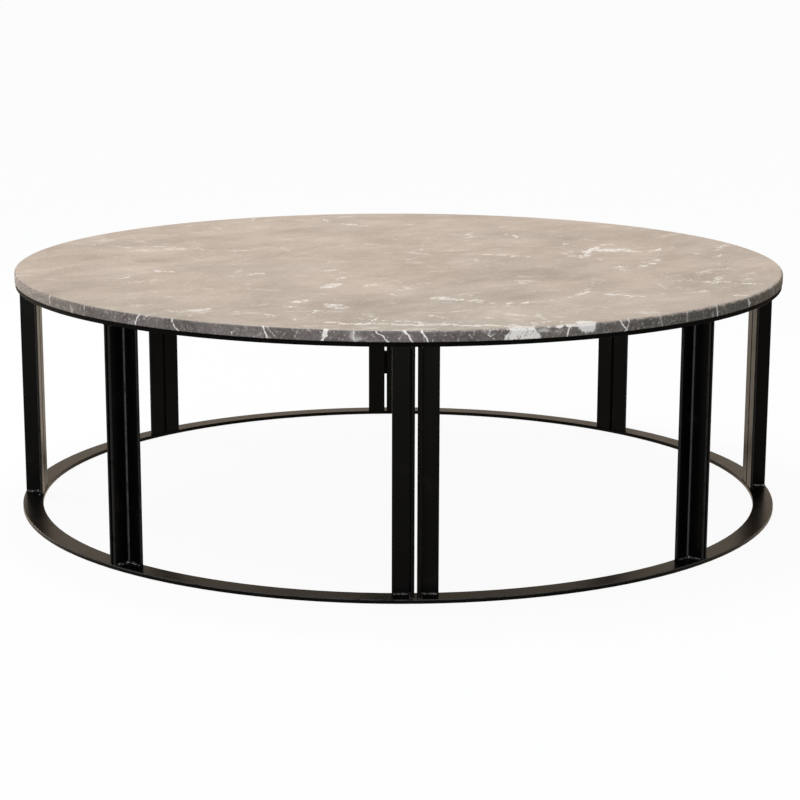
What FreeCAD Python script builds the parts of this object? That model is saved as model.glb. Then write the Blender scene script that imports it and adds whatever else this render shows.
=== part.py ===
import FreeCAD, Part
import os

import Sketcher

# Round cocktail table: a stone disc resting on a steel frame.
# The frame is a flat foot ring and a flat top ring joined by eight legs, and each leg is a pair of
# rolled steel angles set back to back across a narrow slit.
# Millimetres, +Z up, origin on the floor at the centre of the table, front towards -Y.

# Driving dimensions
SIZES = {
    "top_diameter": 1220.0,        # stone disc
    "stone_thickness": 16.0,
    "stone_easing": 3.5,           # rounded upper edge of the stone
    "stone_arris": 1.0,            # small bevel on its lower edge
    "top_overhang": 1.0,           # stone past the steel, all round
    "ring_width": 32.0,            # flat bar of both rings
    "ring_thickness": 6.0,
    "ring_arris": 0.6,             # broken edges of the flat bar
    "angle_width": 30.0,           # equal angle, measured over each flange
    "angle_thickness": 4.0,
    "angle_root_radius": 4.5,      # fillet inside the angle
    "angle_toe_radius": 2.0,       # rounded inner corner at the end of each flange
    "angle_length": 352.5,         # clear height between the rings
    "leg_slit": 5.0,               # gap between the two angles of a leg
    "spacer_height": 40.0,         # filler plate in the slit of the back leg
    "spacer_width": 26.0,
    "spacer_rise": 72.0,           # from the foot ring up to the plate
    "pad_width": 14.0,             # soft squares under the stone
    "pad_thickness": 0.5,
    "glide_diameter": 22.0,        # discs under the foot ring
    "glide_thickness": 0.5,
}

# Legs by name, counter-clockwise from +X
STATIONS = ("right", "back_right", "back", "back_left", "left", "front_left", "front", "front_right")
STATION_STEP = 360.0 / len(STATIONS)
SPACED_STATION = "back"

# Heights and radii worked out from the driving dimensions
RING_DIAMETER = "(Sizes.top_diameter - 2 * Sizes.top_overhang)"
SEAT_RADIUS = f"({RING_DIAMETER} - Sizes.ring_width) / 2"
HEEL_RADIUS = f"({RING_DIAMETER} - Sizes.ring_width - Sizes.angle_width) / 2"
SPACER_RADIUS = f"({RING_DIAMETER} - Sizes.ring_width - Sizes.spacer_width) / 2"
PAD_RADIUS = f"({RING_DIAMETER} - Sizes.ring_width - Sizes.pad_width) / 2"
LEG_BASE = "Sizes.glide_thickness + Sizes.ring_thickness"
SPACER_BASE = f"{LEG_BASE} + Sizes.spacer_rise"
TOP_RING_BASE = f"{LEG_BASE} + Sizes.angle_length"
PAD_BASE = f"{TOP_RING_BASE} + Sizes.ring_thickness"
STONE_BASE = f"{PAD_BASE} + Sizes.pad_thickness"

UP = FreeCAD.Vector(0, 0, 1)
NEAR = 1e-4


def make_sheet(doc):
    """Put the driving dimensions into the document's spreadsheet."""
    sheet = doc.addObject("Spreadsheet::Sheet", "Sizes")
    for row, (alias, value) in enumerate(SIZES.items(), start=1):
        sheet.set(f"A{row}", alias)
        sheet.set(f"B{row}", str(value))
        sheet.setAlias(f"B{row}", alias)
    doc.recompute()
    return sheet


def new_body(doc, label):
    """Start the body of one sub-part."""
    body = doc.addObject("PartDesign::Body", label)
    body.Label = label
    return body


def new_sketch(body, name):
    """Add a sketch on the body's own horizontal plane."""
    plane = next(item for item in body.Origin.OriginFeatures if item.Role == "XY_Plane")
    sketch = body.newObject("Sketcher::SketchObject", name)
    sketch.AttachmentSupport = [(plane, "")]
    sketch.MapMode = "FlatFace"
    return sketch


def bind(sketch, constraint, name, expression):
    """Add a named dimension to a sketch and tie it to the spreadsheet."""
    sketch.renameConstraint(sketch.addConstraint(constraint), name)
    sketch.setExpression(f"Constraints.{name}", expression)


def add_circle(sketch, name, expression):
    """Draw a circle about the sketch's origin with a bound diameter."""
    start_diameter = 100.0
    circle = sketch.addGeometry(Part.Circle(FreeCAD.Vector(), UP, start_diameter / 2))
    sketch.addConstraint(Sketcher.Constraint("Coincident", circle, 3, -1, 1))
    bind(sketch, Sketcher.Constraint("Diameter", circle, start_diameter), name, expression)


def pad_sketch(body, sketch, expression):
    """Pad a sketch upwards by a bound length."""
    pad = body.newObject("PartDesign::Pad", "Pad")
    pad.Profile = sketch
    pad.setExpression("Length", expression)
    body.Document.recompute()
    return pad


def edges_where(feature, test):
    """Name the edges of a feature whose middle point passes a test."""
    return [f"Edge{number}" for number, edge in enumerate(feature.Shape.Edges, start=1)
            if test(edge.CenterOfMass)]


def dress_edges(body, kind, base, edges, size_name, expression):
    """Add a fillet or chamfer of a bound size to some edges of a feature."""
    feature = body.newObject(f"PartDesign::{kind}", kind)
    feature.Base = (base, edges)
    feature.setExpression(size_name, expression)
    body.Document.recompute()
    return feature


def place(item, turn, radius, height, side="0"):
    """Bind a sub-part's place: out along a turn about +Z by a radius, then a sidestep, at a height."""
    item.setExpression("Placement.Base.x", f"({radius}) * cos({turn} deg) - ({side}) * sin({turn} deg)")
    item.setExpression("Placement.Base.y", f"({radius}) * sin({turn} deg) + ({side}) * cos({turn} deg)")
    item.setExpression("Placement.Base.z", height)


def turn_about_z(item, turn):
    """Turn a sub-part about the vertical through its own origin."""
    item.Placement = FreeCAD.Placement(FreeCAD.Vector(), FreeCAD.Rotation(UP, turn))


def make_stone(doc):
    """Stone disc with a rounded upper edge and a small bevel below."""
    body = new_body(doc, "marble_top")
    sketch = new_sketch(body, "DiscOutline")
    add_circle(sketch, "diameter", "Sizes.top_diameter")
    pad = pad_sketch(body, sketch, "Sizes.stone_thickness")
    upper = edges_where(pad, lambda middle: middle.z > pad.Shape.BoundBox.ZMax - NEAR)
    rounded = dress_edges(body, "Fillet", pad, upper, "Radius", "Sizes.stone_easing")
    lower = edges_where(rounded, lambda middle: middle.z < NEAR)
    dress_edges(body, "Chamfer", rounded, lower, "Size", "Sizes.stone_arris")
    body.setExpression("Placement.Base.z", STONE_BASE)
    return body


def make_ring(doc, label, height):
    """Flat bar ring with its four edges broken."""
    body = new_body(doc, label)
    sketch = new_sketch(body, "RingOutline")
    add_circle(sketch, "outside", RING_DIAMETER)
    add_circle(sketch, "inside", f"{RING_DIAMETER} - 2 * Sizes.ring_width")
    pad = pad_sketch(body, sketch, "Sizes.ring_thickness")
    flat_levels = (pad.Shape.BoundBox.ZMin, pad.Shape.BoundBox.ZMax)
    rims = edges_where(pad, lambda middle: min(abs(middle.z - level) for level in flat_levels) < NEAR)
    dress_edges(body, "Chamfer", pad, rims, "Size", "Sizes.ring_arris")
    body.setExpression("Placement.Base.z", height)
    return body


def draw_angle_section(sketch, width, wall):
    """Draw an equal angle with its heel at the sketch's origin and its flanges along +X and +Y."""
    corners = [(0, 0), (width, 0), (width, wall), (wall, wall), (wall, width), (0, width)]
    points = [FreeCAD.Vector(x, y, 0) for x, y in corners]
    sides = [sketch.addGeometry(Part.LineSegment(start, end))
             for start, end in zip(points, points[1:] + points[:1])]
    for side, following in zip(sides, sides[1:] + sides[:1]):
        sketch.addConstraint(Sketcher.Constraint("Coincident", side, 2, following, 1))
    for side in sides[0::2]:
        sketch.addConstraint(Sketcher.Constraint("Horizontal", side))
    for side in sides[1::2]:
        sketch.addConstraint(Sketcher.Constraint("Vertical", side))
    sketch.addConstraint(Sketcher.Constraint("Coincident", sides[0], 1, -1, 1))
    sketch.addConstraint(Sketcher.Constraint("Equal", sides[0], sides[5]))
    sketch.addConstraint(Sketcher.Constraint("Equal", sides[1], sides[4]))
    across = Sketcher.Constraint("DistanceX", sides[0], 1, sides[0], 2, width)
    through = Sketcher.Constraint("DistanceY", sides[1], 1, sides[1], 2, wall)
    bind(sketch, across, "width", "Sizes.angle_width")
    bind(sketch, through, "wall", "Sizes.angle_thickness")


def make_angle(doc, sheet, station, side, turn):
    """One rolled angle of a leg: a flange along the ring's inner edge and a web pointing outwards.

    The two angles of a leg are the same piece. The one on the clockwise side is turned a quarter back,
    so that the webs face each other across the slit.
    """
    body = new_body(doc, f"{station}_leg_{side}_angle")
    sketch = new_sketch(body, "AngleSection")
    width = sheet.angle_width
    wall = sheet.angle_thickness
    draw_angle_section(sketch, width, wall)
    bar = pad_sketch(body, sketch, "Sizes.angle_length")

    def upright_at(*spots):
        return lambda middle: any(abs(middle.x - x) + abs(middle.y - y) < NEAR for x, y in spots)

    root = edges_where(bar, upright_at((wall, wall)))
    rooted = dress_edges(body, "Fillet", bar, root, "Radius", "Sizes.angle_root_radius")
    toes = edges_where(rooted, upright_at((width, wall), (wall, width)))
    toe_radius = "min(Sizes.angle_toe_radius; 0.9 * Sizes.angle_thickness)"
    dress_edges(body, "Fillet", rooted, toes, "Radius", toe_radius)
    if side == "right":
        turn_about_z(body, turn)
        place(body, turn, HEEL_RADIUS, LEG_BASE, "Sizes.leg_slit / 2")
    else:
        turn_about_z(body, turn - 90)
        place(body, turn, HEEL_RADIUS, LEG_BASE, "-Sizes.leg_slit / 2")
    return body


def make_spacer(doc, station, turn):
    """Filler plate that keeps the two webs of one leg apart."""
    plate = doc.addObject("Part::Box", f"{station}_leg_spacer")
    plate.Label = f"{station}_leg_spacer"
    plate.setExpression("Length", "Sizes.spacer_width")
    plate.setExpression("Width", "Sizes.leg_slit")
    plate.setExpression("Height", "Sizes.spacer_height")
    turn_about_z(plate, turn)
    place(plate, turn, SPACER_RADIUS, SPACER_BASE, "-Sizes.leg_slit / 2")
    return plate


def make_pad(doc, station, turn):
    """Soft square between the top ring and the stone, over one leg."""
    pad = doc.addObject("Part::Box", f"{station}_stone_pad")
    pad.Label = f"{station}_stone_pad"
    pad.setExpression("Length", "Sizes.pad_width")
    pad.setExpression("Width", "Sizes.pad_width")
    pad.setExpression("Height", "Sizes.pad_thickness")
    turn_about_z(pad, turn)
    place(pad, turn, PAD_RADIUS, PAD_BASE, "-Sizes.pad_width / 2")
    return pad


def make_glide(doc, station, turn):
    """Floor glide under the foot ring, below one leg."""
    glide = doc.addObject("Part::Cylinder", f"{station}_floor_glide")
    glide.Label = f"{station}_floor_glide"
    glide.setExpression("Radius", "Sizes.glide_diameter / 2")
    glide.setExpression("Height", "Sizes.glide_thickness")
    place(glide, turn, SEAT_RADIUS, "0")
    return glide


def make_leg(doc, sheet, station, turn):
    """Both angles of a leg with its glide and its pad, and the filler plate where the leg has one."""
    pieces = [make_angle(doc, sheet, station, side, turn) for side in ("left", "right")]
    pieces.append(make_glide(doc, station, turn))
    pieces.append(make_pad(doc, station, turn))
    if station == SPACED_STATION:
        pieces.append(make_spacer(doc, station, turn))
    return pieces


def check(doc, pieces):
    """Stop if any object failed to build or any sub-part is not a sound solid."""
    for item in doc.Objects:
        if "Invalid" in item.State or "Error" in item.State:
            raise RuntimeError(f"{item.Label} did not build: {item.State}")
    for piece in pieces:
        if piece.Shape.isNull() or not piece.Shape.isValid() or not piece.Shape.Solids:
            raise RuntimeError(f"{piece.Label} is not a valid solid")


def main():
    """Build the table and write one file for each sub-part."""
    doc = FreeCAD.newDocument("CocktailTable")
    sheet = make_sheet(doc)
    pieces = [
        make_stone(doc),
        make_ring(doc, "top_ring", TOP_RING_BASE),
        make_ring(doc, "foot_ring", "Sizes.glide_thickness"),
    ]
    for number, station in enumerate(STATIONS):
        pieces.extend(make_leg(doc, sheet, station, number * STATION_STEP))
    doc.recompute()
    check(doc, pieces)
    os.makedirs("parts", exist_ok=True)
    for piece in pieces:
        piece.Shape.exportStep(f"parts/{piece.Label}.step")
        print(f"{piece.Label}: {piece.Shape.Volume / 1000:.2f} cm3")


main()
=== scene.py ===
"""Looks of a low round table: a veined marble disc on a black steel frame of rings and paired angles."""

import logging
import math
from collections.abc import Iterable, Mapping
from dataclasses import asdict, dataclass, field
from enum import Enum
from functools import reduce
from typing import Any

import bpy
from mathutils import Matrix, Vector


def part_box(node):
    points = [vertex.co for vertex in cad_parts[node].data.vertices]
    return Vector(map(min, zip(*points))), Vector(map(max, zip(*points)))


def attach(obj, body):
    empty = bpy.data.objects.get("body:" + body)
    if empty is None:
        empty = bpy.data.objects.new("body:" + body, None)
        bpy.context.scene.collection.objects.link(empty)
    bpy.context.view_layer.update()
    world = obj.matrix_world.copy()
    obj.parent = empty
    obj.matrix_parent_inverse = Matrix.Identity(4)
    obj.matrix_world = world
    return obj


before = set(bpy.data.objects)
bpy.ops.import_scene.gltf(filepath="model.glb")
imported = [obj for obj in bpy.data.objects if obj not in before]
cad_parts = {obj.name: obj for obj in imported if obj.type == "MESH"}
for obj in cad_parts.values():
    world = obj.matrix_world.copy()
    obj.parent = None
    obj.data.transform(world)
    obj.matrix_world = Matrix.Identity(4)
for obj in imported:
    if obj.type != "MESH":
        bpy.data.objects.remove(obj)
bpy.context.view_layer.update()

LOG = logging.getLogger("table")
BODY = "root"
STATIONS = ("right", "back_right", "back", "back_left", "left", "front_left", "front", "front_right")
SIDES = ("left", "right")
STATION_STEP = math.tau / len(STATIONS)
MM = 0.001
ANGLE_WALL = 0.004
ANGLE_ROOT = 0.0045
SIDE_BAND = (0.20, 0.50)
WARM = (1.0, 0.90, 0.78)
NEUTRAL = (1.0, 0.975, 0.94)
SMOOTH = {"interpolation_type": "SMOOTHSTEP"}
TO_WALLS = {"feature": "DISTANCE_TO_EDGE"}
OF_COLOURS = {"data_type": "RGBA"}

Triple = tuple[float, float, float]
Colour = Triple
Band = tuple[float, float]
Socket = bpy.types.NodeSocket
Material = bpy.types.Material


def rgba(colour: Colour) -> tuple[float, float, float, float]:
    """Add full opacity to a colour."""
    return (*colour, 1.0)


def toned(colour: Colour, level: float) -> Colour:
    """Make a colour lighter or darker."""
    return tuple(level * part for part in colour)


@dataclass(frozen=True)
class Pattern:
    """Noise, by its waves in a metre and the number and strength of its finer layers."""

    scale: float
    detail: float = 3.0
    roughness: float = 0.5


@dataclass(frozen=True)
class Push:
    """Noise that pushes positions about, by its waves in a metre and its reach in metres."""

    scale: float
    reach: float
    detail: float = 4.0


@dataclass(frozen=True)
class Relief:
    """Noise as fine bumps, with their depth in metres."""

    pattern: Pattern
    depth: float
    strength: float


class Graph:
    """A node tree that is filled one node at a time."""

    def __init__(self, tree: bpy.types.NodeTree) -> None:
        """Take over an empty tree."""
        self.tree = tree

    def node(
        self,
        kind: str,
        settings: Mapping[str, Any] | None = None,
        inputs: Mapping[str | int, Any] | None = None,
    ) -> bpy.types.Node:
        """Add a node, set it up and connect it.

        Args:
            kind: The node's type name.
            settings: Properties to set first; "stops" holds a colour ramp's stops.
            inputs: Values, sockets or signals, by socket name or number.

        Returns:
            The new node.
        """
        made = self.tree.nodes.new(kind)
        for name, value in (settings or {}).items():
            if name == "stops":
                self._set_stops(made.color_ramp, value)
            else:
                setattr(made, name, value)
        for key, value in (inputs or {}).items():
            self._feed(made.inputs[key], value)
        return made

    def _set_stops(self, ramp: bpy.types.ColorRamp, stops: Iterable[tuple[float, Colour]]) -> None:
        """Give a colour ramp its stops.

        Args:
            ramp: The ramp to set.
            stops: Places from 0 to 1 with their colours, in order of place.
        """
        wanted = list(stops)
        while len(ramp.elements) < len(wanted):
            ramp.elements.new(1.0)
        for element, (place, colour) in zip(ramp.elements, wanted):
            element.position = place
            element.color = rgba(colour)

    def _feed(self, socket: Socket, value: Any) -> None:
        """Link a socket to a source, or set its own value.

        Args:
            socket: The input to feed.
            value: A signal, an output socket or a plain value.
        """
        if isinstance(value, Signal):
            self.tree.links.new(value.socket, socket)
        elif isinstance(value, Socket):
            self.tree.links.new(value, socket)
        else:
            socket.default_value = value

    def noise(self, vector: Socket, pattern: Pattern) -> "Signal":
        """Cloudy noise from 0 to 1, by position in metres."""
        sizes = {name.capitalize(): value for name, value in asdict(pattern).items()}
        return Signal(self, self.node("ShaderNodeTexNoise", None, {"Vector": vector, **sizes}).outputs[0])

    def mixed(self, share: "Signal", first: Any, second: Any) -> Socket:
        """Blend two colours, or sockets that give them, the second by a share from 0 to 1."""
        ends = [rgba(item) if isinstance(item, tuple) else item for item in (first, second)]
        return self.node("ShaderNodeMix", OF_COLOURS, {0: share, 6: ends[0], 7: ends[1]}).outputs[2]


class Signal:
    """A number on a socket, which Python's operators extend with Math nodes."""

    def __init__(self, graph: Graph, socket: Socket) -> None:
        """Wrap one output socket of a graph."""
        self.graph = graph
        self.socket = socket

    def _math(self, operation: str, *values: Any) -> "Signal":
        """Add one Math node."""
        made = self.graph.node("ShaderNodeMath", {"operation": operation}, dict(enumerate(values)))
        return Signal(self.graph, made.outputs[0])

    def __add__(self, other: Any) -> "Signal":
        """Add a number or signal."""
        return self._math("ADD", self, other)

    __radd__ = __add__

    def __sub__(self, other: Any) -> "Signal":
        """Take away a number or signal."""
        return self._math("SUBTRACT", self, other)

    def __rsub__(self, other: Any) -> "Signal":
        """Take this signal away from a number."""
        return self._math("SUBTRACT", other, self)

    def __mul__(self, other: Any) -> "Signal":
        """Multiply by a number or signal."""
        return self._math("MULTIPLY", self, other)

    __rmul__ = __mul__

    def __truediv__(self, other: Any) -> "Signal":
        """Divide by a number or signal."""
        return self._math("DIVIDE", self, other)

    def sine(self) -> "Signal":
        """The sine of an angle in radians."""
        return self._math("SINE", self)

    def cosine(self) -> "Signal":
        """The cosine of an angle in radians."""
        return self._math("COSINE", self)

    def root(self) -> "Signal":
        """The square root."""
        return self._math("SQRT", self)

    def size(self) -> "Signal":
        """The value without its sign."""
        return self._math("ABSOLUTE", self)

    def floor(self) -> "Signal":
        """The whole number below."""
        return self._math("FLOOR", self)

    def turn_from(self, across: "Signal") -> "Signal":
        """The angle in radians of a point, with this as its upright part."""
        return self._math("ARCTAN2", self, across)

    def at_least(self, other: Any) -> "Signal":
        """The larger of two."""
        return self._math("MAXIMUM", self, other)

    def at_most(self, other: Any) -> "Signal":
        """The smaller of two."""
        return self._math("MINIMUM", self, other)

    def rise(self, low: float, high: float) -> "Signal":
        """A smooth step from 0 at low to 1 at high."""
        made = self.graph.node("ShaderNodeMapRange", SMOOTH, {0: self, 1: low, 2: high})
        return Signal(self.graph, made.outputs["Result"])

    def fall(self, low: float, high: float) -> "Signal":
        """A smooth step from 1 at low to 0 at high."""
        return 1.0 - self.rise(low, high)

    def contour(self, low: float, high: float) -> "Signal":
        """1 along the lines where noise passes its middle, 0 at high or more from it."""
        return (self - 0.5).size().fall(low, high)

    def between(self, first: Any, second: Any) -> "Signal":
        """The first value where this is 0 and the second where it is 1."""
        return first + (second - first) * self


class Finish(Graph):
    """A material made of nodes around Principled shaders."""

    def __init__(self, name: str) -> None:
        """Start a material with an empty tree.

        Args:
            name: The material's name.
        """
        self.material = bpy.data.materials.new(name)
        self.material.use_nodes = True
        super().__init__(self.material.node_tree)
        self.tree.nodes.clear()
        self.place = self.node("ShaderNodeTexCoord").outputs["Object"]

    def axes(self) -> tuple[Signal, ...]:
        """The three parts of each point's place."""
        parts = self.node("ShaderNodeSeparateXYZ", None, {0: self.place}).outputs
        return tuple(Signal(self, part) for part in parts)

    def stretched(self, vector: Socket, scale: Triple) -> Socket:
        """Scale a position along each axis."""
        return self.node("ShaderNodeMapping", None, {"Vector": vector, "Scale": scale}).outputs[0]

    def turned(self, vector: Socket, angles: Triple) -> Socket:
        """Turn positions about the origin, by angles in radians."""
        return self.node("ShaderNodeMapping", None, {"Vector": vector, "Rotation": angles}).outputs[0]

    def warped(self, vector: Socket, push: Push) -> Socket:
        """Push positions about by noise.

        Args:
            vector: Positions in metres.
            push: How finely and how far.

        Returns:
            The pushed positions.
        """
        waves = {"Vector": vector, "Scale": push.scale, "Detail": push.detail}
        ways = self.node("ShaderNodeTexNoise", None, waves).outputs["Color"]
        middle = {0: ways, 1: (0.5, 0.5, 0.5)}
        even = self.node("ShaderNodeVectorMath", {"operation": "SUBTRACT"}, middle)
        moved = {0: even.outputs[0], 1: (2.0 * push.reach,) * 3, 2: vector}
        return self.node("ShaderNodeVectorMath", {"operation": "MULTIPLY_ADD"}, moved).outputs[0]

    def cracks(self, vector: Socket, cell: float) -> Signal:
        """Distance in metres to the walls of a net of cells, by the width of a cell."""
        net = self.node("ShaderNodeTexVoronoi", TO_WALLS, {"Vector": vector, "Scale": 1.0 / cell})
        return Signal(self, net.outputs["Distance"]) * cell

    def ramp(self, value: Signal, stops: Iterable[tuple[float, Colour]]) -> Socket:
        """Turn a value into a colour."""
        return self.node("ShaderNodeValToRGB", {"stops": stops}, {0: value}).outputs[0]

    def bump(self, height: Signal, depth: float, strength: float) -> Socket:
        """Turn a height from 0 to 1 into a surface normal, with its depth in metres."""
        inputs = {"Height": height, "Distance": depth, "Strength": strength}
        return self.node("ShaderNodeBump", None, inputs).outputs[0]

    def bumps(self, relief: Relief) -> Socket:
        """Turn noise into a surface normal."""
        return self.bump(self.noise(self.place, relief.pattern), relief.depth, relief.strength)

    def shader(self, inputs: Mapping[str, Any]) -> Socket:
        """One Principled shader with these inputs."""
        return self.node("ShaderNodeBsdfPrincipled", None, inputs).outputs[0]

    def joined(self, share: Signal, first: Socket, second: Socket) -> Socket:
        """Blend two shaders, the second by its share."""
        return self.node("ShaderNodeMixShader", None, {0: share, 1: first, 2: second}).outputs[0]

    def finished(self, shader: Socket) -> Material:
        """Give the material its shader."""
        self.node("ShaderNodeOutputMaterial", None, {"Surface": shader})
        return self.material

    def surface(self, inputs: Mapping[str, Any]) -> Material:
        """Give the material one shader with these inputs."""
        return self.finished(self.shader(inputs))


def sideways(x: Signal, radius: Signal) -> Signal:
    """1 at the legs to the table's left and right, 0 at the front and back ones."""
    return (x / radius).size().rise(*SIDE_BAND)


@dataclass(frozen=True)
class Fleck:
    """A place where the stone's pale veins gather, with lengths in millimetres.

    Args:
        x, y: Place to the right of the table's centre and behind it.
        length, width: Reach along its heading and across it.
        heading: Turn from +X, in degrees.
        strength: 1 is solid white, 0 is bare stone.
        lean: Tilt about its heading, in degrees.
        depth: Reach below the stone's face.
    """

    x: float
    y: float
    length: float
    width: float
    heading: float
    strength: float
    lean: float = 0.0
    depth: float = 60.0


@dataclass(frozen=True)
class RimVein:
    """A pale vein that crosses the stone's edge, with lengths in millimetres.

    Args:
        turn: Place round the rim from +X, in degrees.
        width: Reach along the rim.
        lean: Tilt from upright, in degrees.
        strength: 1 is solid white.
        reach: How far it runs in from the rim.
        depth: Reach below the stone's face.
    """

    turn: float
    width: float
    lean: float
    strength: float
    reach: float = 8.0
    depth: float = 60.0

    def fleck(self, radius: float) -> Fleck:
        """The same vein as a fleck on a rim of this radius."""
        x, y = (radius * part(math.radians(self.turn)) for part in (math.cos, math.sin))
        return Fleck(x, y, self.reach, self.width, self.turn, self.strength, self.lean, self.depth)


def gathered(stone: Finish, flecks: Iterable[Fleck], place: Socket) -> Signal:
    """How strongly some flecks show at each point.

    Args:
        stone: The material being built.
        flecks: The flecks, placed on the disc's upper face.
        place: Positions to read them at.

    Returns:
        0 away from every fleck, up to a fleck's strength over its inner half.
    """
    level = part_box("marble_top")[1].z
    shares: list[Signal] = []
    for fleck in flecks:
        local = stone.node("ShaderNodeMapping", {"vector_type": "TEXTURE"}, {
            "Vector": place,
            "Location": (fleck.x * MM, fleck.y * MM, level),
            "Rotation": (math.radians(fleck.lean), 0.0, math.radians(fleck.heading)),
            "Scale": (fleck.length * MM, fleck.width * MM, fleck.depth * MM),
        })
        inputs = {0: local.outputs[0]}
        ball = stone.node("ShaderNodeTexGradient", {"gradient_type": "SPHERICAL"}, inputs)
        shares.append((Signal(stone, ball.outputs["Fac"]) * 2.0).at_most(1.0) * fleck.strength)
    return reduce(Signal.at_least, shares)


@dataclass(frozen=True)
class StoneBase:
    """What every part of the marble's pattern starts from.

    sawn is 1 on the disc's sawn edge and 0 on its polished face. swirled and ragged are positions pushed
    about at the scales of the clouds and the veins. mottle and grain are middling and fine noise.
    """

    stone: Finish
    sawn: Signal
    swirled: Socket
    ragged: Socket
    mottle: Signal
    grain: Signal


@dataclass(frozen=True)
class Strands:
    """Pale lines along the contours of a noise, near the flecks.

    Each band holds where the lines begin to fade or show, and where they have done so.
    """

    pattern: Pattern
    width: Band
    crowd: Band
    whole: Band

    def shown(self, stone: Finish, place: Socket, crowd: Signal, gaps: Signal) -> Signal:
        """0 on unveined stone and 1 along a line, where the flecks crowd and the gaps leave it whole."""
        lines = stone.noise(place, self.pattern).contour(*self.width)
        return lines * crowd.rise(*self.crowd) * gaps.rise(*self.whole)


@dataclass(frozen=True)
class Net:
    """Fine veins along the walls of a net, with its cells' width in metres."""

    cell: float
    width: Band
    whole: Band

    def shown(self, stone: Finish, place: Socket, gaps: Signal) -> Signal:
        """0 on unveined stone and 1 along a vein, where the noise leaves it whole."""
        return stone.cracks(place, self.cell).fall(*self.width) * gaps.rise(*self.whole)


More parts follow.
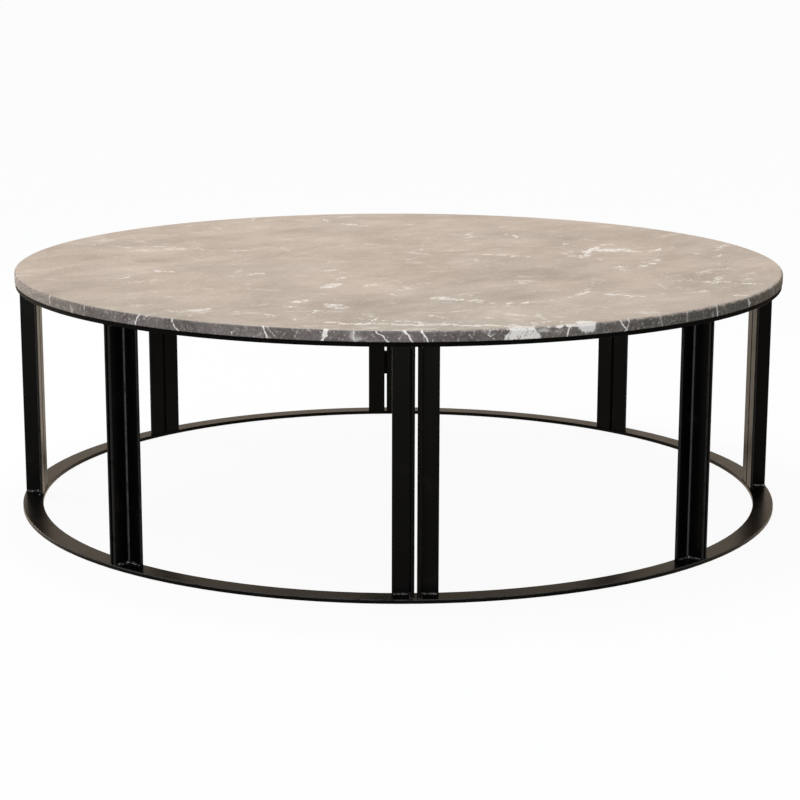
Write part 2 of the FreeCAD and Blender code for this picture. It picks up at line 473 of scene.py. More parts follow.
@dataclass(frozen=True)
class Marble:
    """Warm grey marble: a cloudy ground, scattered pale flecks and veins that cross the sawn edge."""

    # The face colours are a lit copy of the stone: painted light from above.
    golden: Colour = (0.362, 0.312, 0.281)
    olive: Colour = (0.337, 0.305, 0.282)
    # The sawn edge colours are a shaded copy of the stone, the second darker and a little more olive:
    # painted shade.
    sawn_grey: Colour = (0.172, 0.157, 0.153)
    sawn_olive: Colour = (0.137, 0.131, 0.117)
    vein: Colour = (0.88, 0.87, 0.86)
    sawn_vein: Colour = (0.92, 0.90, 0.88)
    levels: tuple[Band, ...] = ((0.25, 0.48), (0.50, 1.00), (0.75, 1.55))
    contrast: float = 1.45
    sawn_contrast: float = 1.5
    cloud_depth: float = 0.16
    vein_strength: float = 0.80
    roughness: float = 0.34
    unevenness: float = 0.14
    sawn_roughness: float = 0.62
    sawn_gloss: float = 0.12
    relief: float = 0.0002
    relief_strength: float = 0.25
    sawn_depths: Band = (0.0030, 0.0005)
    flow: float = 50.0
    flow_share: float = 0.40
    brush_lean: float = 35.0
    brushed_to: Band = (0.165, 0.200)
    scratching: Band = (0.12, 0.65)
    fraying: Band = (1.1, 2.2)
    stroke_band: Band = (0.54, 0.66)
    rim_band: Band = (0.36, 0.76)
    solid_band: Band = (0.62, 0.95)
    crumb_band: Band = (0.68, 0.75)
    thread_share: float = 0.5
    sawn_thread_share: float = 0.55
    sawn_fleck_share: float = 0.15
    face_middle: float = 0.485
    olive_slope: float = 0.16
    olive_band: Band = (0.36, 0.70)
    # Where the painted shade on the sawn edge deepens toward the right.
    sawn_olive_band: Band = (0.30, 0.75)
    swirl: Push = Push(3.2, 0.06)
    tear: Push = Push(26.0, 0.011)
    fray: Push = Push(95.0, 0.0035)
    scatter: Push = Push(40.0, 0.014)
    rim_sway: Push = Push(60.0, 0.007)
    rim_fray: Push = Push(210.0, 0.0015)
    mottle: Pattern = Pattern(24.0, 7.0, 0.66)
    grain: Pattern = Pattern(230.0, 4.0, 0.62)
    cloud: Pattern = Pattern(5.0, 5.0, 0.55)
    drift: Pattern = Pattern(20.0, 6.0, 0.66)
    hue: Pattern = Pattern(3.6)
    cluster: Pattern = Pattern(5.5)
    gaps: Pattern = Pattern(60.0, 3.0, 0.6)
    crumbs: Pattern = Pattern(120.0, 4.0, 0.62)
    brush: Pattern = Pattern(330.0, 4.0, 0.65)
    strokes: Pattern = Pattern(270.0, 4.0, 0.65)
    strands: Strands = Strands(Pattern(20.0), (0.005, 0.024), (0.14, 0.38), (0.38, 0.50))
    twigs: Strands = Strands(Pattern(46.0, 3.0, 0.55), (0.010, 0.042), (0.36, 0.66), (0.44, 0.54))
    coarse_net: Net = Net(0.10, (0.0006, 0.0040), (0.50, 0.64))
    fine_net: Net = Net(0.013, (0.0001, 0.0010), (0.48, 0.66))
    clouds: tuple[Fleck, ...] = (
        Fleck(-50, -370, 75, 90, 0, 1.0), Fleck(150, -120, 170, 90, -15, 0.9),
        Fleck(-20, -80, 120, 80, 30, 0.7), Fleck(-450, 195, 70, 60, 0, 0.8),
        Fleck(430, -110, 80, 120, 30, 0.7), Fleck(-30, 300, 70, 160, -20, 0.7),
        Fleck(-230, -390, 60, 50, 0, 0.7), Fleck(280, 220, 60, 100, 0, 0.6),
    )
    flecks: tuple[Fleck, ...] = (
        Fleck(360, 122, 40, 26, 20, 1.0), Fleck(325, 115, 70, 12, 68, 1.0),
        Fleck(308, 55, 34, 12, 80, 0.95), Fleck(322, 25, 26, 7, -55, 0.85),
        Fleck(280, 52, 30, 8, 15, 0.75), Fleck(358, 182, 26, 18, 0, 0.78),
        Fleck(395, 105, 30, 9, -10, 0.8), Fleck(158, 74, 40, 10, -4, 0.9),
        Fleck(200, 56, 36, 9, -18, 0.85), Fleck(155, 186, 14, 10, 0, 0.7),
        Fleck(440, -190, 50, 14, 55, 0.7), Fleck(478, -195, 60, 13, 70, 0.85),
        Fleck(468, -215, 34, 18, 10, 0.8), Fleck(520, -236, 45, 9, -8, 0.8),
        Fleck(540, -145, 36, 12, 60, 0.7), Fleck(470, -130, 60, 16, 60, 0.7),
        Fleck(415, -280, 40, 12, -70, 0.65), Fleck(440, -305, 40, 9, 80, 0.65),
        Fleck(480, -335, 34, 8, -25, 0.6), Fleck(50, -355, 28, 16, -20, 0.9),
        Fleck(85, -372, 36, 9, -10, 0.85), Fleck(112, -392, 24, 9, -30, 0.7),
        Fleck(94, -328, 18, 7, 80, 0.7), Fleck(250, -328, 50, 9, 62, 0.8),
        Fleck(297, -326, 22, 10, 10, 0.85), Fleck(330, -340, 24, 8, -15, 0.75),
        Fleck(180, -385, 60, 10, 25, 0.6), Fleck(175, -218, 22, 8, 75, 0.7),
        Fleck(285, -240, 60, 9, 62, 0.6), Fleck(-108, -416, 40, 18, -60, 0.95),
        Fleck(-155, -372, 30, 13, 40, 0.9), Fleck(-168, -420, 26, 10, -20, 0.8),
        Fleck(-137, -470, 34, 12, 65, 0.75), Fleck(-300, -445, 36, 13, 20, 0.88),
        Fleck(-338, -445, 32, 10, -60, 0.7), Fleck(-315, -478, 34, 8, -70, 0.65),
        Fleck(-392, -395, 26, 8, -30, 0.7), Fleck(-248, -465, 34, 7, 85, 0.65),
        Fleck(-112, -235, 36, 14, 65, 0.85), Fleck(-52, -230, 30, 10, 70, 0.7),
        Fleck(-18, -324, 22, 8, -50, 0.7), Fleck(-110, -88, 26, 12, 40, 0.82),
        Fleck(-92, -165, 22, 8, 70, 0.65), Fleck(-224, -122, 24, 15, 50, 0.85),
        Fleck(-430, -64, 18, 12, 0, 0.72), Fleck(-366, -92, 26, 12, -20, 0.7),
        Fleck(-425, -145, 36, 8, 75, 0.6), Fleck(-405, -195, 34, 10, 10, 0.65),
        Fleck(-450, -320, 36, 10, 85, 0.55), Fleck(-436, 134, 24, 10, 5, 0.72),
        Fleck(-395, 182, 34, 13, -20, 0.72), Fleck(-345, 166, 34, 9, -25, 0.65),
        Fleck(-312, 140, 26, 9, -35, 0.62), Fleck(-400, 240, 20, 10, 0, 0.55),
        Fleck(212, 402, 34, 12, -40, 0.65), Fleck(182, 308, 20, 14, 0, 0.62),
        Fleck(212, 300, 40, 12, -65, 0.68), Fleck(135, 300, 50, 8, 78, 0.62),
        Fleck(56, 230, 70, 7, 78, 0.55), Fleck(-110, 510, 50, 12, -55, 0.62),
        Fleck(-65, 448, 34, 12, -35, 0.65), Fleck(-252, 512, 40, 12, 80, 0.62),
        Fleck(294, 212, 40, 8, 80, 0.6), Fleck(550, 160, 40, 10, 50, 0.62),
        Fleck(494, 70, 24, 8, 75, 0.7), Fleck(525, 45, 40, 10, 65, 0.6),
        Fleck(436, 130, 70, 14, 70, 0.66), Fleck(-60, -510, 44, 9, -80, 0.72),
        Fleck(-155, -525, 34, 10, -60, 0.72), Fleck(-200, -490, 20, 7, -70, 0.62),
        Fleck(35, -510, 34, 8, -55, 0.75), Fleck(-68, -556, 60, 13, -6, 0.9),
        Fleck(-20, -540, 50, 10, -12, 0.75), Fleck(110, -520, 60, 9, -20, 0.66),
        Fleck(-115, -545, 40, 10, -25, 0.7), Fleck(15, -566, 80, 12, 0, 0.95),
        Fleck(90, -575, 80, 10, -4, 0.95), Fleck(65, -545, 40, 8, 10, 0.7),
        Fleck(165, -558, 50, 10, 16, 0.85), Fleck(398, -30, 70, 16, 65, 0.72),
        Fleck(352, -75, 50, 16, 70, 0.66), Fleck(505, -95, 50, 14, 35, 0.7),
    )
    rim_veins: tuple[RimVein, ...] = (
        RimVein(211, 1.3, 5, 0.6), RimVein(220.3, 1.3, 12, 0.6), RimVein(231.7, 1.6, -31, 0.8),
        RimVein(237, 1.6, 34, 0.7), RimVein(246, 1.2, -15, 0.5), RimVein(250.2, 1.7, 12, 0.85),
        RimVein(250.6, 1.2, 48, 0.55), RimVein(258.5, 3.2, -20, 1.0), RimVein(261.9, 1.2, 11, 0.6),
        RimVein(264.8, 1.7, 45, 1.0), RimVein(268.3, 1.7, 43, 0.95), RimVein(270.7, 2.1, 22, 1.0),
        RimVein(278.3, 1.2, 46, 0.6), RimVein(282.8, 12, -36, 1.0, 12), RimVein(283.5, 14, 0, 1.0, 20),
        RimVein(284.1, 12, 36, 0.95, 12), RimVein(290, 1.8, -18, 0.85), RimVein(290, 45, 0, 0.95, 9, 4.5),
        RimVein(292.6, 22, 0, 1.0, 30, 16), RimVein(297.8, 1.4, 18, 0.8), RimVein(299, 1.4, -25, 0.8),
        RimVein(304, 1.3, 25, 0.6), RimVein(309.3, 1.2, -8, 0.55), RimVein(315.7, 2.1, 11, 0.85),
        RimVein(324.2, 1.9, 28, 0.85), RimVein(334.7, 1.4, 32, 0.65),
    )

    def material(self) -> Material:
        """Build the material.

        Returns:
            A material on the stone's own coordinates, so veins run on over its edge.
        """
        stone = Finish("marble")
        swirled = stone.warped(stone.place, self.swirl)
        ragged = stone.warped(swirled, self.tear)
        mottle = stone.noise(ragged, self.mottle)
        grain = stone.noise(stone.place, self.grain)
        base = StoneBase(stone, self._sawn(stone), swirled, ragged, mottle, grain)

        white = stone.mixed(base.sawn, self.vein, self.sawn_vein)
        colour = stone.mixed(self._veins(base), self._bare(base), white)
        normal = stone.bump(mottle * 0.5 + grain * 0.5, self.relief, self.relief_strength)
        satin = self.roughness + (mottle - 0.5) * self.unevenness
        polished = stone.shader({"Base Color": colour, "Roughness": satin, "Normal": normal})
        matt = stone.shader({
            "Base Color": colour,
            "Roughness": self.sawn_roughness,
            "Specular IOR Level": self.sawn_gloss,
            "Normal": normal,
        })
        return stone.finished(stone.joined(base.sawn, polished, matt))

    def _sawn(self, stone: Finish) -> Signal:
        """1 on the sawn edge of the disc and 0 on its polished face.

        Args:
            stone: The material being built.

        Returns:
            A mask that turns over with the eased corner.
        """
        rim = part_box("marble_top")[1].x
        flat = stone.stretched(stone.place, (1.0, 1.0, 0.0))
        out = stone.node("ShaderNodeVectorMath", {"operation": "LENGTH"}, {0: flat})
        return Signal(stone, out.outputs["Value"]).rise(*(rim - depth for depth in self.sawn_depths))

    def _drawn_out(self, stone: Finish, vector: Socket) -> Socket:
        """Positions in which a pattern is drawn out along the stone's flow."""
        along = stone.turned(vector, (0.0, 0.0, math.radians(-self.flow)))
        return stone.stretched(along, (self.flow_share, 1.0, 1.0))

    def _shades(self, stone: Finish, tone: Signal, *colours: Colour) -> list[Socket]:
        """Each colour of bare stone from its darkest to its lightest tone."""
        rows = [[(place, toned(colour, level)) for place, level in self.levels] for colour in colours]
        return [stone.ramp(tone, stops) for stops in rows]

    def _bare(self, base: StoneBase) -> Socket:
        """Colour the stone between its veins.

        Args:
            base: The patterns to start from.

        Returns:
            Golden to olive on the face, painted lighter as if lit from above, and a darker copy on the sawn
            edge as painted shade, darkest toward the right.
        """
        stone = base.stone
        hollows = gathered(stone, self.clouds, base.ragged) * self.cloud_depth
        cloud = stone.noise(base.swirled, self.cloud) - hollows
        drift = stone.noise(self._drawn_out(stone, base.ragged), self.drift)
        face_mix = cloud * 0.36 + drift * 0.34 + base.mottle * 0.22 + base.grain * 0.08
        edge_mix = base.mottle * 0.55 + base.grain * 0.45
        face_tone = (face_mix - self.face_middle) * self.contrast
        edge_tone = (edge_mix - 0.5) * self.sawn_contrast
        tone = base.sawn.between(face_tone, edge_tone) + 0.5

        x, y, _ = stone.axes()
        greyer = (stone.noise(base.swirled, self.hue) + (x - y) * self.olive_slope).rise(*self.olive_band)
        # Painted shade: the sawn edge darkens toward the right.
        shaded_rightward = (base.mottle * 0.5 + x).rise(*self.sawn_olive_band)
        # The face is a painted lit copy and the sawn edge a painted shaded copy of one stone.
        face = stone.mixed(greyer, *self._shades(stone, tone, self.golden, self.olive))
        edge = stone.mixed(shaded_rightward, *self._shades(stone, tone, self.sawn_grey, self.sawn_olive))
        return stone.mixed(base.sawn, face, edge)

    def _veins(self, base: StoneBase) -> Signal:
        """Gather every kind of vein.

        Args:
            base: The patterns to start from.

        Returns:
            0 on unveined stone, 1 on solid white.
        """
        flecks = self._flecks(base)
        rim = self._rim(base.stone)
        threads = self._threads(base)
        on_face = flecks.at_least(rim).at_least(threads * self.thread_share) * self.vein_strength
        on_edge = rim.at_least(threads * self.sawn_thread_share).at_least(flecks * self.sawn_fleck_share)
        return base.sawn.between(on_face, on_edge)

    def _flecks(self, base: StoneBase) -> Signal:
        """Pale crumbs and frayed strands, sparse everywhere and crowded at the flecks.

        Args:
            base: The patterns to start from.

        Returns:
            0 on unveined stone, 1 on a solid fleck.
        """
        stone = base.stone
        frayed = stone.warped(base.ragged, self.fray)
        cluster = stone.noise(base.swirled, self.cluster) - 0.5
        near = gathered(stone, self.flecks, stone.warped(stone.place, self.scatter))
        crowd = near + cluster * 0.8
        gaps = stone.noise(frayed, self.gaps)
        strands = self.strands.shown(stone, self._drawn_out(stone, frayed), crowd, gaps)
        twigs = self.twigs.shown(stone, frayed, crowd, gaps)
        solid = near.rise(*self.solid_band) * 0.15
        crumbs = stone.noise(frayed, self.crumbs) + cluster * 0.28 + near * 0.10 + solid
        return crumbs.rise(*self.crumb_band).at_least(strands).at_least(twigs)

    def _threads(self, base: StoneBase) -> Signal:
        """Fine broken veins, wide apart on a coarse net and close on a fine one.

        Args:
            base: The patterns to start from.

        Returns:
            0 on unveined stone, 1 along a vein.
        """
        wide = base.stone.stretched(base.ragged, (0.6, 1.0, 1.0))
        coarse = self.coarse_net.shown(base.stone, wide, base.mottle)
        hairs = self.fine_net.shown(base.stone, base.ragged, base.grain)
        return coarse.at_least(hairs * 0.8)

    def _rim(self, stone: Finish) -> Signal:
        """Veins and white patches that cross the edge, brushed up to the front right.

        Args:
            stone: The material being built.

        Returns:
            0 on unveined stone, 1 on a vein.
        """
        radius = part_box("marble_top")[1].x / MM
        bent = stone.warped(stone.warped(stone.place, self.rim_sway), self.rim_fray)
        veins = gathered(stone, (vein.fleck(radius) for vein in self.rim_veins), bent)
        leaning = stone.turned(stone.place, (0.0, math.radians(-self.brush_lean), 0.0))
        brush = stone.noise(stone.stretched(leaning, (1.0, 1.0, 0.25)), self.brush)
        strokes = stone.noise(stone.stretched(leaning, (1.2, 1.2, 0.35)), self.strokes)
        x, _, _ = stone.axes()
        brushed = x.fall(*self.brushed_to)
        scratches = strokes.rise(*self.stroke_band) * brushed.between(*self.scratching)
        frayed = veins + (brush - 0.5) * brushed.between(*self.fraying)
        return frayed.rise(*self.rim_band) * (1.0 - scratches)


@dataclass(frozen=True)
class LegPlace:
    """Where a point lies in the cross section of the nearest leg.

    out runs from the table's axis along the leg's own radius and aside to either side of that. height is
    above the floor, radius is from the axis, and sideways tells the side legs from the others.
    """

    out: Signal
    aside: Signal
    height: Signal
    radius: Signal
    sideways: Signal


@dataclass(frozen=True)
class BlackSteel:
    """Satin black paint over steel with painted highlights along edges and roots, rubbed in patches and dry
    where the gun can't reach.
    """

    paint: Colour = (0.0014, 0.0015, 0.0017)
    rubbed: Colour = (0.0060, 0.0057, 0.0053)
    # Pale grey of the painted highlights along the roots, toes and arrises.
    thin: Colour = (0.062, 0.065, 0.067)
    sheen: Colour = (0.92, 0.97, 1.0)
    roughness: float = 0.28
    dry: float = 0.85
    gloss: float = 0.05
    # Widths and strengths of the painted highlight lines.
    root_line: float = 0.0019
    root_fade: float = 0.0008
    edge_line: float = 0.0007
    toe_share: float = 0.25
    tip_share: float = 0.30
    rim_share: float = 0.9
    peel: Relief = Relief(Pattern(620.0, 2.0), 0.00008, 0.25)
    film: Pattern = Pattern(26.0, 5.0, 0.6)
    # Patches of this noise break up the painted highlight lines.
    patches: Pattern = Pattern(55.0, 3.0, 0.6)
    worn_film: Band = (0.56, 0.80)
    thin_patches: Band = (0.20, 0.52)
    unevenness: float = 0.12
    worn_dullness: float = 0.06
    end_fade: float = 0.001
    slit_band: Band = (0.0002, 0.0006)
    rim_band: Band = (0.0008, 0.0004)
    foot_clear: Band = (0.002, 0.004)
    head_clear: Band = (0.002, 0.001)

    def material(self) -> Material:
        """Build the material.

        Returns:
            A material on the frame's own coordinates.
        """
        steel = Finish("black_steel")
        film = steel.noise(steel.place, self.film)
        worn = film.rise(*self.worn_film)
        satin = self.roughness + (film - 0.5) * self.unevenness + worn * self.worn_dullness
        place = self._leg_place(steel)
        # Patches that break up the painted highlight lines.
        highlight_patchiness = steel.noise(steel.place, self.patches).rise(*self.thin_patches)
        colour = steel.mixed(worn, self.paint, self.rubbed)
        return steel.surface({
            # Pale painted highlights along roots, toes and arrises, broken into patches.
            "Base Color": steel.mixed(self._thin_lines(place) * highlight_patchiness, colour, self.thin),
            "Roughness": self._dry_faces(place).between(satin, self.dry),
            "Specular IOR Level": self.gloss,
            "Specular Tint": rgba(self.sheen),
            "Normal": steel.bumps(self.peel),
        })

    def _leg_place(self, steel: Finish) -> LegPlace:
        """Fold every leg onto one cross section.

        Args:
            steel: The material being built.

        Returns:
            The place of each point, which repeats at every leg.
        """
        x, y, z = steel.axes()
        turn = y.turn_from(x) / STATION_STEP + 0.5
        off = (turn - turn.floor() - 0.5) * STATION_STEP
        radius = (x * x + y * y).root()
        aside = (radius * off.sine()).size()
        return LegPlace(radius * off.cosine(), aside, z, radius, sideways(x, radius))

    def _dry_faces(self, place: LegPlace) -> Signal:
        """1 on the faces that look into a leg's slit and on the rim of the top ring.

        Args:
            place: Where each point lies in its leg.

        Returns:
            A mask that repeats at every leg.
        """
        low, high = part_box("right_leg_right_angle")
        fade = self.end_fade
        between = place.height.rise(low.z, low.z + fade) * place.height.fall(high.z - fade, high.z)
        slit = place.aside.fall(*(low.y + depth for depth in self.slit_band)) * between
        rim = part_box("top_ring")[1].x
        edge = place.radius.rise(*(rim - depth for depth in self.rim_band))
        return slit.at_least(place.height.rise(high.z, high.z + fade / 2.0) * edge)

    def _edge(self, across: Signal, end: float) -> Signal:
        """1 over the last strip of the painted highlight's width before an end."""
        return across.rise(end - 2.0 * self.edge_line, end - self.edge_line)

    def _thin_lines(self, place: LegPlace) -> Signal:
        """Painted highlights: 1 along the roots and toes of the angles, at the side legs only, and on the
        upper arrises of the foot ring.

        Args:
            place: Where each point lies in its leg.

        Returns:
            A mask of narrow painted highlight lines.
        """
        low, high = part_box("right_leg_right_angle")
        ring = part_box("foot_ring")[1]
        above = place.height.rise(*(ring.z + gap for gap in self.foot_clear))
        on_leg = above * place.height.fall(*(high.z - gap for gap in self.head_clear))
        across_out = place.out - (low.x + ANGLE_WALL)
        across_aside = place.aside - (low.y + ANGLE_WALL)
        corner = (across_out * across_out + across_aside * across_aside).root()
        # Painted highlights on the root fillets, the toes and the flange tips.
        root = corner.fall(self.root_line, self.root_line + self.root_fade)
        toe = self._edge(place.out, high.x) * self.toe_share
        tip = self._edge(place.aside, high.y) * self.tip_share
        # Painted highlights on the side legs only, fading out at the front and back legs.
        leg_highlights = root.at_least(toe).at_least(tip) * on_leg * place.sideways
        # Painted highlight along the foot ring's upper outer arris.
        arris_highlight = self._edge(place.radius, ring.x) * self._edge(place.height, ring.z)
        return leg_highlights.at_least(arris_highlight * (1.0 - above) * self.rim_share)


@dataclass(frozen=True)
class WeldPaint:
    """The frame's black paint over the weld beads, dull but for glossy runs, with pale specks of painted
    glint, fewer at the front and back legs.
    """

    paint: Colour = (0.0030, 0.0031, 0.0034)
    # Pale grey of the painted glints on the beads.
    bare: Colour = (0.26, 0.27, 0.28)
    roughness: float = 0.34
    gloss: float = 0.22
    run_roughness: float = 0.10
    film: Pattern = Pattern(140.0, 3.0, 0.6)
    specks: Pattern = Pattern(260.0, 3.0, 0.6)
    runs: Pattern = Pattern(170.0, 3.0, 0.6)
    lumps: Relief = Relief(Pattern(420.0), 0.0006, 0.6)
    speck_band: Band = (0.50, 0.62)
    run_band: Band = (0.54, 0.62)
    front_share: float = 0.25
    unevenness: float = 0.2

    def material(self) -> Material:
        """Build the material.

        Returns:
            A material on the beads' own coordinates.
        """
        bead = Finish("weld_paint")
        x, y, _ = bead.axes()
        # Painted glints: pale specks on the beads, fewer at the front and back legs.
        share = sideways(x, (x * x + y * y).root()).between(self.front_share, 1.0)
        specks = bead.noise(bead.place, self.specks).rise(*self.speck_band) * share
        film = bead.noise(bead.place, self.film)
        return bead.surface({
            "Base Color": bead.mixed(specks, self.paint, self.bare),
            "Roughness": self.roughness + (film - 0.5) * self.unevenness,
            "Specular IOR Level": self.gloss,
            "Coat Weight": bead.noise(bead.place, self.runs).rise(*self.run_band),
            "Coat Roughness": self.run_roughness,
            "Normal": bead.bumps(self.lumps),
        })


@dataclass(frozen=True)
class SoftBlack:
    """Dull black rubber or plastic of the pads and glides."""

    name: str
    colour: Colour
    roughness: float
    lighter: float = 1.6
    unevenness: float = 0.1
    shade: Pattern = Pattern(60.0)
    grain: Relief = Relief(Pattern(900.0), 0.00005, 0.3)

    def material(self) -> Material:
        """Build the material.

        Returns:
            A material with a fine grain.
        """
        soft = Finish(self.name)
        shade = soft.noise(soft.place, self.shade)
        return soft.surface({
            "Base Color": soft.mixed(shade, self.colour, toned(self.colour, self.lighter)),
            "Roughness": self.roughness + (shade - 0.5) * self.unevenness,
            "Normal": soft.bumps(self.grain),
        })


def dress(nodes: Iterable[str], finish: Material) -> None:
    """Put a material into every slot of some CAD nodes.

    Args:
        nodes: Names of the nodes.
        finish: The material.
    """
    for name in nodes:
        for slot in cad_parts[name].material_slots:
            slot.material = finish
        LOG.info("dressed %s in %s", name, finish.name)


class End(Enum):
    """The two ends of a leg."""

    FOOT = "foot"
    TOP = "top"


@dataclass
class WeldTree:
    """Geometry nodes that lay a rippled bead along each line of a mesh.

    Lengths are in metres; ripple and uneven are shares of the bead's radius.
    """

    bend: float
    bead: float
    ripple: float = 0.10
    pitch: float = 0.0022
    step: float = 0.0007
    corner_points: int = 8
    around: int = 10
    uneven: float = 0.7
    hand: Pattern = Pattern(160.0, 2.0)
    sockets: dict[str, str] = field(default_factory=dict)

    def sizes(self) -> dict[str, float]:
        """The tree's named inputs with their values."""
        names = ("bend", "bead", "ripple", "pitch", "step")
        return {name.capitalize(): getattr(self, name) for name in names}

    def tree(self, finish: Material) -> bpy.types.NodeTree:
        """Build the tree.

        Args:
            finish: The bead's material.

        Returns:
            A tree with named inputs for its sizes.
        """
        group = bpy.data.node_groups.new("weld_bead", "GeometryNodeTree")
        group.interface.new_socket("Lines", in_out="INPUT", socket_type="NodeSocketGeometry")
        for name in self.sizes():
            made = group.interface.new_socket(name, in_out="INPUT", socket_type="NodeSocketFloat")
            self.sockets[name] = made.identifier
        group.interface.new_socket("Beads", in_out="OUTPUT", socket_type="NodeSocketGeometry")
        graph = Graph(group)
        given = graph.node("NodeGroupInput").outputs
        section = {"Resolution": self.around, "Radius": 1.0}
        circle = graph.node("GeometryNodeCurvePrimitiveCircle", None, section).outputs[0]
        girth = self._girth(graph, given)
        corner = {"Count": self.corner_points, "Radius": given["Bend"]}
        steps = (
            ("GeometryNodeMeshToCurve", {}, {}),
            ("GeometryNodeFilletCurve", {"mode": "POLY"}, corner),
            ("GeometryNodeResampleCurve", {"mode": "LENGTH"}, {"Length": given["Step"]}),
            ("GeometryNodeCurveToMesh", {}, {"Profile Curve": circle, "Scale": girth, "Fill Caps": True}),
            ("GeometryNodeSetShadeSmooth", {}, {}),
            ("GeometryNodeRealizeInstances", {}, {}),
            ("GeometryNodeSetMaterial", {}, {"Material": finish}),
        )
        shape = given["Lines"]
        for kind, settings, inputs in steps:
            shape = graph.node(kind, settings, {0: shape, **inputs}).outputs[0]
        graph.node("NodeGroupOutput", None, {"Beads": shape})
        return group

    def _girth(self, graph: Graph, given: bpy.types.bpy_prop_collection) -> Signal:
        """The bead's radius along its line, with its ripple and a hand's unevenness.

        Args:
            graph: The tree being built.
            given: The tree's own inputs.

        Returns:
            The radius in metres.
        """
        along = Signal(graph, graph.node("GeometryNodeSplineParameter").outputs["Length"])
        wave = (along / Signal(graph, given["Pitch"]) * math.tau).sine()
        place = graph.node("GeometryNodeInputPosition").outputs[0]
        pace = graph.noise(place, self.hand) - 0.5
        shape = 1.0 + wave * Signal(graph, given["Ripple"]) + pace * self.uneven
        return shape * Signal(graph, given["Bead"])

    def sweep(self, name: str, lines: bpy.types.Mesh, finish: Material) -> bpy.types.Object:
        """Turn lines into beads as a plain mesh.

        Args:
            name: The piece's name.
            lines: A mesh of edges only.
            finish: The bead's material.

        Returns:
            The piece, at the origin, with no modifier left.
        """
        piece = bpy.data.objects.new(name, lines)
        bpy.context.scene.collection.objects.link(piece)
        modifier = piece.modifiers.new("beads", "NODES")
        modifier.node_group = self.tree(finish)
        for key, value in self.sizes().items():
            modifier[self.sockets[key]] = value
        graph = bpy.context.evaluated_depsgraph_get()
        mesh = bpy.data.meshes.new_from_object(piece.evaluated_get(graph))
        piece.modifiers.remove(modifier)
        piece.data = mesh
        mesh.name = name
        return piece


@dataclass
class SteelFrame:
    """The two rings, the paired angles, the filler plate and the welds that join them."""

    steel: BlackSteel = BlackSteel()
    weld_paint: WeldPaint = WeldPaint()
    weld_bead: float = 0.0024
    weld_short: float = 0.002

    def nodes(self) -> list[str]:
        """Names of the frame's CAD nodes."""
        angles = [f"{station}_leg_{side}_angle" for station in STATIONS for side in SIDES]
        return ["top_ring", "foot_ring", "back_leg_spacer", *angles]

    def build(self) -> None:
        """Dress the frame and lay its welds.

        Each end of the legs has one piece with the welds of all its angles.
        """
        dress(self.nodes(), self.steel.material())
        finish = self.weld_paint.material()
        for end in End:
            self._welds(end, finish)

    def _welds(self, end: End, finish: Material) -> None:
        """Lay the welds at one end of every angle.

        Args:
            end: Which end of the legs.
            finish: The paint over the beads.
        """
        lines = bpy.data.meshes.new(f"{end.value}_weld_lines")
        points: list[Vector] = []
        edges: list[tuple[int, int]] = []
        for number in range(len(STATIONS)):
            for side in SIDES:
                start = len(points)
                points.extend(self._weld_line(number, side, end))
                edges.extend((first, first + 1) for first in range(start, len(points) - 1))
        lines.from_pydata(points, edges, [])
        beads = WeldTree(bend=ANGLE_ROOT, bead=self.weld_bead)
        piece = beads.sweep(f"{end.value}_welds", lines, finish)
        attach(piece, BODY)
        LOG.info("laid %s with %d faces", piece.name, len(piece.data.polygons))

    def _weld_line(self, number: int, side: str, end: End) -> list[Vector]:
        """Corner points of the weld inside one angle.

        Args:
            number: The leg's place, counted from +X.
            side: Which angle of the pair, seen from outside.
            end: Which end of the leg.

        Returns:
            Toe, root and toe on the ring's face.
        """
        low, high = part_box("right_leg_right_angle")
        level = low.z if end is End.FOOT else high.z
        reach = high.x - low.x - self.weld_short
        section = [(reach, ANGLE_WALL), (ANGLE_WALL, ANGLE_WALL), (ANGLE_WALL, reach)]
        way = 1.0 if side == "right" else -1.0
        turn = Matrix.Rotation(STATION_STEP * number, 3, "Z")
        return [turn @ Vector((low.x + out, way * (low.y + across), level)) for out, across in section]


@dataclass
class StoneTop:
    """The marble disc and the soft pads that it lies on."""

    marble: Marble = Marble()
    rubber: SoftBlack = SoftBlack("soft_pad", (0.020, 0.020, 0.020), 0.7)

    def build(self) -> None:
        """Dress the disc and its pads."""
        dress(["marble_top"], self.marble.material())
        dress([f"{station}_stone_pad" for station in STATIONS], self.rubber.material())


@dataclass
class Glides:
    """The discs that keep the foot ring off the floor."""

    plastic: SoftBlack = SoftBlack("glide_plastic", (0.022, 0.022, 0.022), 0.55)

    def build(self) -> None:
        """Dress the glides."""
        dress([f"{station}_floor_glide" for station in STATIONS], self.plastic.material())


@dataclass(frozen=True)
class Lamp:
    """A light that hangs at a place and points at a height on the table's axis, in metres."""

    name: str
    kind: str
    place: Triple
    aim: float
    settings: Mapping[str, Any]


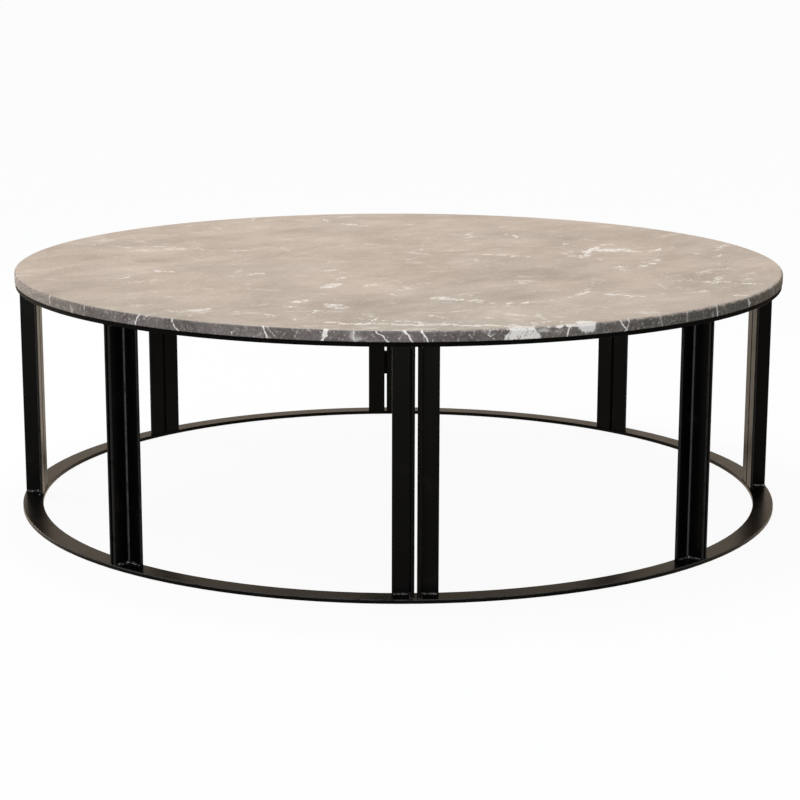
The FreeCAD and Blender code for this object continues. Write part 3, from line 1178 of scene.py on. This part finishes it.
@dataclass
class Studio:
    """Pale floor, soft light and the camera."""

    camera_distance: float = 3.4018
    camera_height: float = 0.8971
    camera_turn: float = -2.36
    camera_pitch: float = 12.360
    camera_roll: float = 0.137
    lens: float = 95.92
    sensor: float = 36.0
    shift: tuple[float, float] = (0.0021, 0.0015)
    sight: float = 200.0
    floor_size: float = 120.0
    floor_lit: Colour = (0.25, 0.26, 0.27)
    floor_seen: Colour = (0.86, 0.91, 0.96)
    floor_glow: float = 0.94
    white: Colour = (1.0, 1.0, 1.0)
    mirrored: Colour = (1.0, 0.83, 0.65)
    stray: Colour = (0.86, 0.92, 1.0)
    stray_strength: float = 0.20
    lamps: tuple[Lamp, ...] = (
        Lamp("overhead", "SUN", (-0.6, 0.5, 3.0), 0.3, {
            "angle": math.radians(70.0), "energy": 1.44, "color": NEUTRAL,
        }),
        Lamp("key", "AREA", (-0.3, 0.5, 3.2), 0.25, {
            "shape": "RECTANGLE", "size": 0.3, "size_y": 0.3, "energy": 30.0, "color": NEUTRAL,
        }),
        Lamp("fill", "AREA", (-0.9, -4.1, 0.62), 0.25, {
            "shape": "RECTANGLE", "size": 2.4, "size_y": 1.2, "energy": 74.0, "color": NEUTRAL,
        }),
        Lamp("side", "AREA", (-2.3, 1.2, 0.38), 0.25, {
            "shape": "RECTANGLE", "size": 1.2, "size_y": 0.4, "energy": 36.0, "color": WARM,
        }),
    )

    def build(self) -> None:
        """Set up the whole studio.

        Colours show as they are written.
        """
        bpy.context.scene.view_settings.view_transform = "Standard"
        self._floor()
        self._world()
        for lamp in self.lamps:
            self._hang(lamp)
        self._camera()

    def _seen(self, graph: Graph) -> tuple[Signal, Signal]:
        """Tell rays that show the surroundings from stray light.

        Args:
            graph: The material or world being built.

        Returns:
            1 for rays from the camera, a reflection or glass, and 1 for those from a reflection alone.
        """
        rays = graph.node("ShaderNodeLightPath").outputs
        camera, glass, glossy = (
            Signal(graph, rays[f"Is {kind} Ray"]) for kind in ("Camera", "Transmission", "Glossy")
        )
        return camera.at_least(glass).at_least(glossy), glossy

    def _floor(self) -> None:
        """Lay a plain pale floor that keeps the table's shadow.

        It glows where it is seen, and is darker to stray light.
        """
        half = self.floor_size / 2.0
        corners = [(-half, -half, 0.0), (half, -half, 0.0), (half, half, 0.0), (-half, half, 0.0)]
        mesh = bpy.data.meshes.new("floor")
        mesh.from_pydata(corners, [], [(0, 1, 2, 3)])
        floor = bpy.data.objects.new("floor", mesh)
        bpy.context.scene.collection.objects.link(floor)
        pale = Finish("pale_floor")
        seen, glossy = self._seen(pale)
        colour = pale.mixed(seen, self.floor_lit, self.floor_seen)
        matt = pale.node("ShaderNodeBsdfDiffuse", None, {"Color": colour})
        shown = pale.mixed(glossy, self.white, self.mirrored)
        glow = pale.node("ShaderNodeEmission", None, {"Color": shown, "Strength": 1.0})
        both = pale.joined(seen * self.floor_glow, matt.outputs[0], glow.outputs[0])
        mesh.materials.append(pale.finished(both))

    def _world(self) -> None:
        """Make the surroundings.

        They look white, are warm in reflections, and dim and cool as a light.
        """
        world = bpy.data.worlds.new("studio")
        world.use_nodes = True
        world.node_tree.nodes.clear()
        graph = Graph(world.node_tree)
        seen, glossy = self._seen(graph)
        shown = graph.mixed(glossy, self.white, self.mirrored)
        colour = graph.mixed(seen, self.stray, shown)
        strength = self.stray_strength + seen * (1.0 - self.stray_strength)
        sky = graph.node("ShaderNodeBackground", None, {"Color": colour, "Strength": strength})
        graph.node("ShaderNodeOutputWorld", None, {"Surface": sky.outputs[0]})
        bpy.context.scene.world = world

    def _hang(self, lamp: Lamp) -> None:
        """Hang a light and point it.

        Args:
            lamp: The light's place, aim and settings.
        """
        light = bpy.data.lights.new(lamp.name, lamp.kind)
        for name, value in lamp.settings.items():
            setattr(light, name, value)
        hung = bpy.data.objects.new(lamp.name, light)
        hung.location = lamp.place
        hung.rotation_mode = "QUATERNION"
        way = Vector((0.0, 0.0, lamp.aim)) - Vector(lamp.place)
        hung.rotation_quaternion = way.to_track_quat("-Z", "Y")
        bpy.context.scene.collection.objects.link(hung)

    def _camera(self) -> None:
        """Stand the camera where the photograph was taken.

        Its place, angles and lens are fitted to the table's edges.
        """
        lens = bpy.data.cameras.new("camera")
        lens.lens = self.lens
        lens.sensor_width = self.sensor
        lens.shift_x, lens.shift_y = self.shift
        lens.clip_end = self.sight
        camera = bpy.data.objects.new("camera", lens)
        turn = Matrix.Rotation(math.radians(self.camera_turn), 4, "Z")
        tilt = Matrix.Rotation(math.radians(90.0 - self.camera_pitch), 4, "X")
        roll = Matrix.Rotation(math.radians(self.camera_roll), 4, "Z")
        place = turn @ Vector((0.0, -self.camera_distance, self.camera_height))
        camera.matrix_world = Matrix.Translation(place) @ turn @ tilt @ roll
        bpy.context.scene.collection.objects.link(camera)
        bpy.context.scene.camera = camera


def main() -> None:
    """Dress the table and light it.
    """
    logging.basicConfig(level=logging.INFO, format="%(name)s: %(message)s")
    StoneTop().build()
    SteelFrame().build()
    Glides().build()
    Studio().build()


if __name__ == "__main__":
    main()
